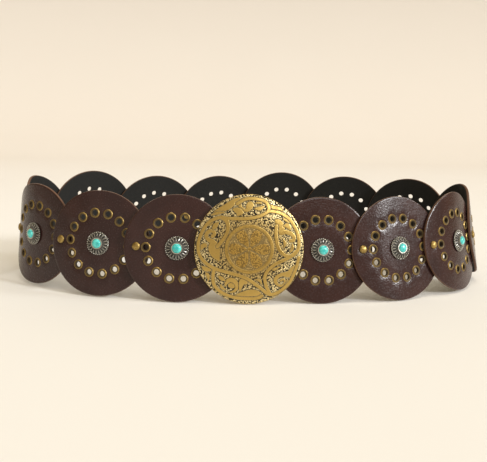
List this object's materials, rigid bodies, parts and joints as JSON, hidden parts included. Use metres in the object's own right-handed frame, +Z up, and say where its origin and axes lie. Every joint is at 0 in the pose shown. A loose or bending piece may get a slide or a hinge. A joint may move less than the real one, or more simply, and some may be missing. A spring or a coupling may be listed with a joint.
{
  "type": "concho belt",
  "caption": "Belt of overlapping round leather discs with eyelet rings, silver flower conchos with turquoise stones and a round engraved brass buckle, closed in a loop.",
  "frame": {"origin": "on the floor under the middle of the belt's overall box", "axes": "+Z up, the buckle faces -Y, +X to the viewer's right when facing the buckle"},
  "size_m": [0.3962, 0.2008, 0.0847],
  "materials": {
    "leather": "dark brown, fine grain, worn sheen, near black inside",
    "brass": "aged brass",
    "antique_gold": "antique gold tone, dark in the engraving",
    "antique_silver": "antique silver, black in the recesses",
    "turquoise": "polished turquoise stone"
  },
  "bodies": {
    "root": {"disc_01": "leather", "disc_02": "leather", "disc_03": "leather", "disc_04": "leather", "disc_05": "leather", "disc_06": "leather", "disc_07": "leather", "disc_08": "leather", "disc_09": "leather", "disc_10": "leather", "disc_11": "leather", "disc_12": "leather", "disc_13": "leather", "disc_14": "leather", "rivet_01": "brass", "rivet_02": "brass", "rivet_03": "brass", "rivet_04": "brass", "rivet_05": "brass", "rivet_06": "brass", "rivet_07": "brass", "rivet_08": "brass", "rivet_09": "brass", "rivet_10": "brass", "rivet_11": "brass", "rivet_12": "brass", "rivet_13": "brass", "setting_01": "antique_silver", "setting_02": "antique_silver", "setting_03": "antique_silver", "setting_04": "antique_silver", "setting_05": "antique_silver", "setting_06": "antique_silver", "setting_07": "antique_silver", "setting_08": "antique_silver", "setting_09": "antique_silver", "setting_10": "antique_silver", "setting_11": "antique_silver", "setting_12": "antique_silver", "setting_13": "antique_silver", "setting_14": "antique_silver", "stone_01": "turquoise", "stone_02": "turquoise", "stone_03": "turquoise", "stone_04": "turquoise", "stone_05": "turquoise", "stone_06": "turquoise", "stone_07": "turquoise", "stone_08": "turquoise", "stone_09": "turquoise", "stone_10": "turquoise", "stone_11": "turquoise", "stone_12": "turquoise", "stone_13": "turquoise", "stone_14": "turquoise", "buckle": "antique_gold", "stud_cap": "brass"}
  },
  "joints": []
}
